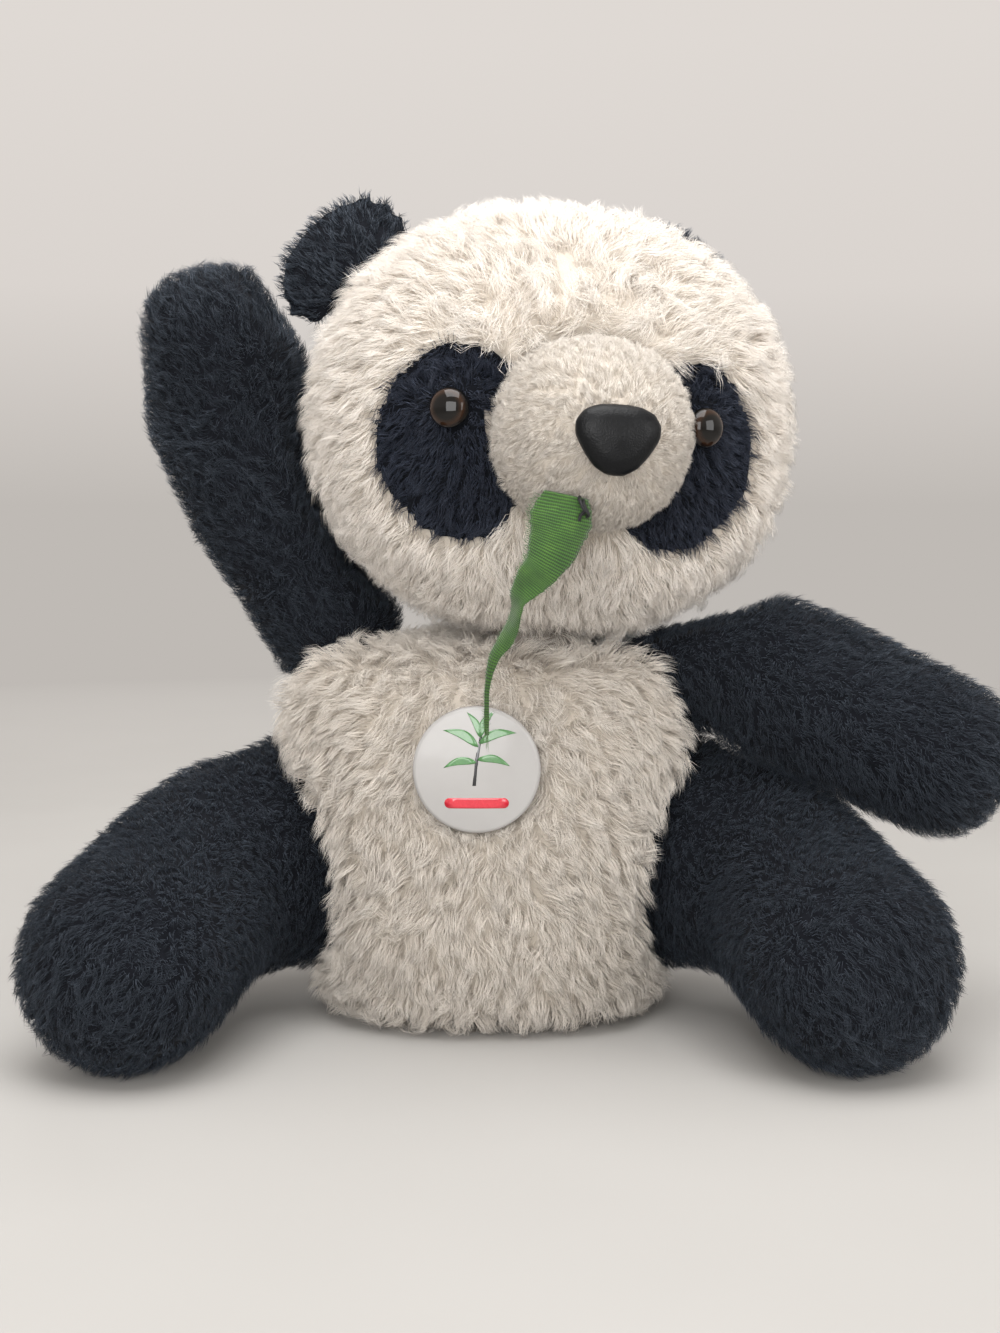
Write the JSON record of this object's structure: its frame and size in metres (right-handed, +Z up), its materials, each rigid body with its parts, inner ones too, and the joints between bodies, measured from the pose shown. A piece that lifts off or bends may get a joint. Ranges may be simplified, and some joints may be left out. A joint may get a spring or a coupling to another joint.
{
  "type": "plush panda",
  "caption": "Seated plush panda with long white pile, black ears and limbs, safety eyes, moulded nose, a cloth leaf in its mouth and a pin badge.",
  "frame": {"origin": "middle of the flattened seat, on the surface that the toy sits on", "axes": "+Z up; the panda faces -Y; its own right side is at -X"},
  "size_m": [0.4558, 0.2832, 0.3992],
  "materials": {
    "white_long_pile": "long-pile faux fur, warm white",
    "white_short_pile": "short-pile plush, warm white",
    "black_short_pile": "dense short-pile plush, blue-black",
    "polyester_filling": "loose fibre",
    "safety_eye": "polished",
    "moulded_nose": "fine leather grain, satin",
    "lock_washer": "as moulded",
    "black_thread": "twisted sewing thread",
    "white_thread": "twisted sewing thread",
    "green_cloth": "plain woven cotton, frayed edge",
    "clear_film": "clear gloss",
    "printed_paper": "printed card",
    "badge_tinplate": "tinplate",
    "pin_wire": "drawn wire"
  },
  "bodies": {
    "torso": {"torso_front_panel": "white_long_pile", "torso_back_panel_right": "white_long_pile", "torso_back_panel_left": "white_long_pile", "torso_stuffing": "polyester_filling", "closing_stitches": "white_thread"},
    "neck": {"neck_stuffing": "polyester_filling"},
    "head": {"head_front_panel": "white_long_pile", "head_back_panel": "white_long_pile", "head_stuffing": "polyester_filling", "muzzle_skin": "white_short_pile", "eye_patch_right": "black_short_pile", "eye_patch_left": "black_short_pile", "eye_right": "safety_eye", "eye_left": "safety_eye", "eye_right_washer": "lock_washer", "eye_left_washer": "lock_washer", "nose": "moulded_nose", "nose_washer": "lock_washer", "mouth_stitch": "black_thread"},
    "ear_right": {"ear_right_front_panel": "black_short_pile", "ear_right_back_panel": "black_short_pile", "ear_right_stuffing": "polyester_filling"},
    "ear_left": {"ear_left_front_panel": "black_short_pile", "ear_left_back_panel": "black_short_pile", "ear_left_stuffing": "polyester_filling"},
    "arm_right": {"arm_right_front_panel": "black_short_pile", "arm_right_back_panel": "black_short_pile", "arm_right_stuffing": "polyester_filling"},
    "arm_left": {"arm_left_front_panel": "black_short_pile", "arm_left_back_panel": "black_short_pile", "arm_left_stuffing": "polyester_filling"},
    "leg_right": {"leg_right_skin": "black_short_pile", "leg_right_sole": "black_short_pile", "leg_right_stuffing": "polyester_filling"},
    "leg_left": {"leg_left_skin": "black_short_pile", "leg_left_sole": "black_short_pile", "leg_left_stuffing": "polyester_filling"},
    "tail": {"tail_skin": "white_long_pile", "tail_stuffing": "polyester_filling"},
    "leaf": {"leaf": "green_cloth"},
    "badge": {"badge_film": "clear_film", "badge_print": "printed_paper", "badge_shell": "badge_tinplate", "badge_back_plate": "badge_tinplate"},
    "badge_pin": {"badge_pin": "pin_wire"}
  },
  "joints": [
    {"name": "neck_turn", "type": "hinge", "parent": "torso", "child": "neck", "pos_m": [0.022, -0.013, 0.184], "axis": [0, 0, 1], "range_deg": [-25, 25]},
    {"name": "head_nod", "type": "hinge", "parent": "neck", "child": "head", "pos_m": [0.022, -0.013, 0.184], "axis": [0.9848, 0.1736, 0], "range_deg": [-10, 10]},
    {"name": "shoulder_right", "type": "hinge", "parent": "torso", "child": "arm_right", "pos_m": [-0.074, 0.014, 0.178], "axis": [0, -1, 0], "range_deg": [0, 70]},
    {"name": "shoulder_left", "type": "hinge", "parent": "torso", "child": "arm_left", "pos_m": [0.08, 0.002, 0.171], "axis": [0, -0.5, 0.866], "range_deg": [0, 35]},
    {"name": "hip_right", "type": "hinge", "parent": "torso", "child": "leg_right", "pos_m": [-0.097, 0, 0.076], "axis": [0, 0, -1], "range_deg": [-6, 12]},
    {"name": "hip_left", "type": "hinge", "parent": "torso", "child": "leg_left", "pos_m": [0.097, 0, 0.076], "axis": [0, 0, 1], "range_deg": [-6, 12]},
    {"name": "ear_right_flex", "type": "hinge", "parent": "head", "child": "ear_right", "pos_m": [-0.06155, 0.01631, 0.3548], "axis": [0.6885, 0.1214, 0.715], "range_deg": [-8, 8]},
    {"name": "ear_left_flex", "type": "hinge", "parent": "head", "child": "ear_left", "pos_m": [0.09296, 0.05005, 0.35779], "axis": [0.7717, 0.1361, -0.6213], "range_deg": [-8, 8]},
    {"name": "tail_wag", "type": "hinge", "parent": "torso", "child": "tail", "pos_m": [0, 0.09, 0.044], "axis": [0, 0, 1], "range_deg": [-15, 15]},
    {"name": "leaf_swing", "type": "hinge", "parent": "head", "child": "leaf", "pos_m": [0.041, -0.1415, 0.251], "axis": [1, 0, 0], "range_deg": [-15, 0], "deforming": ["leaf"]},
    {"name": "badge_tilt", "type": "hinge", "parent": "torso", "child": "badge", "pos_m": [-0.0048, -0.0858, 0.13897], "axis": [-0.9962, 0, 0.0872], "range_deg": [0, 10]},
    {"name": "badge_pin_open", "type": "hinge", "parent": "badge", "child": "badge_pin", "pos_m": [-0.02473, -0.089, 0.14071], "axis": [0.0872, 0, 0.9962], "range_deg": [0, 5], "stiffness_Nm_per_rad": 0.02}
  ]
}
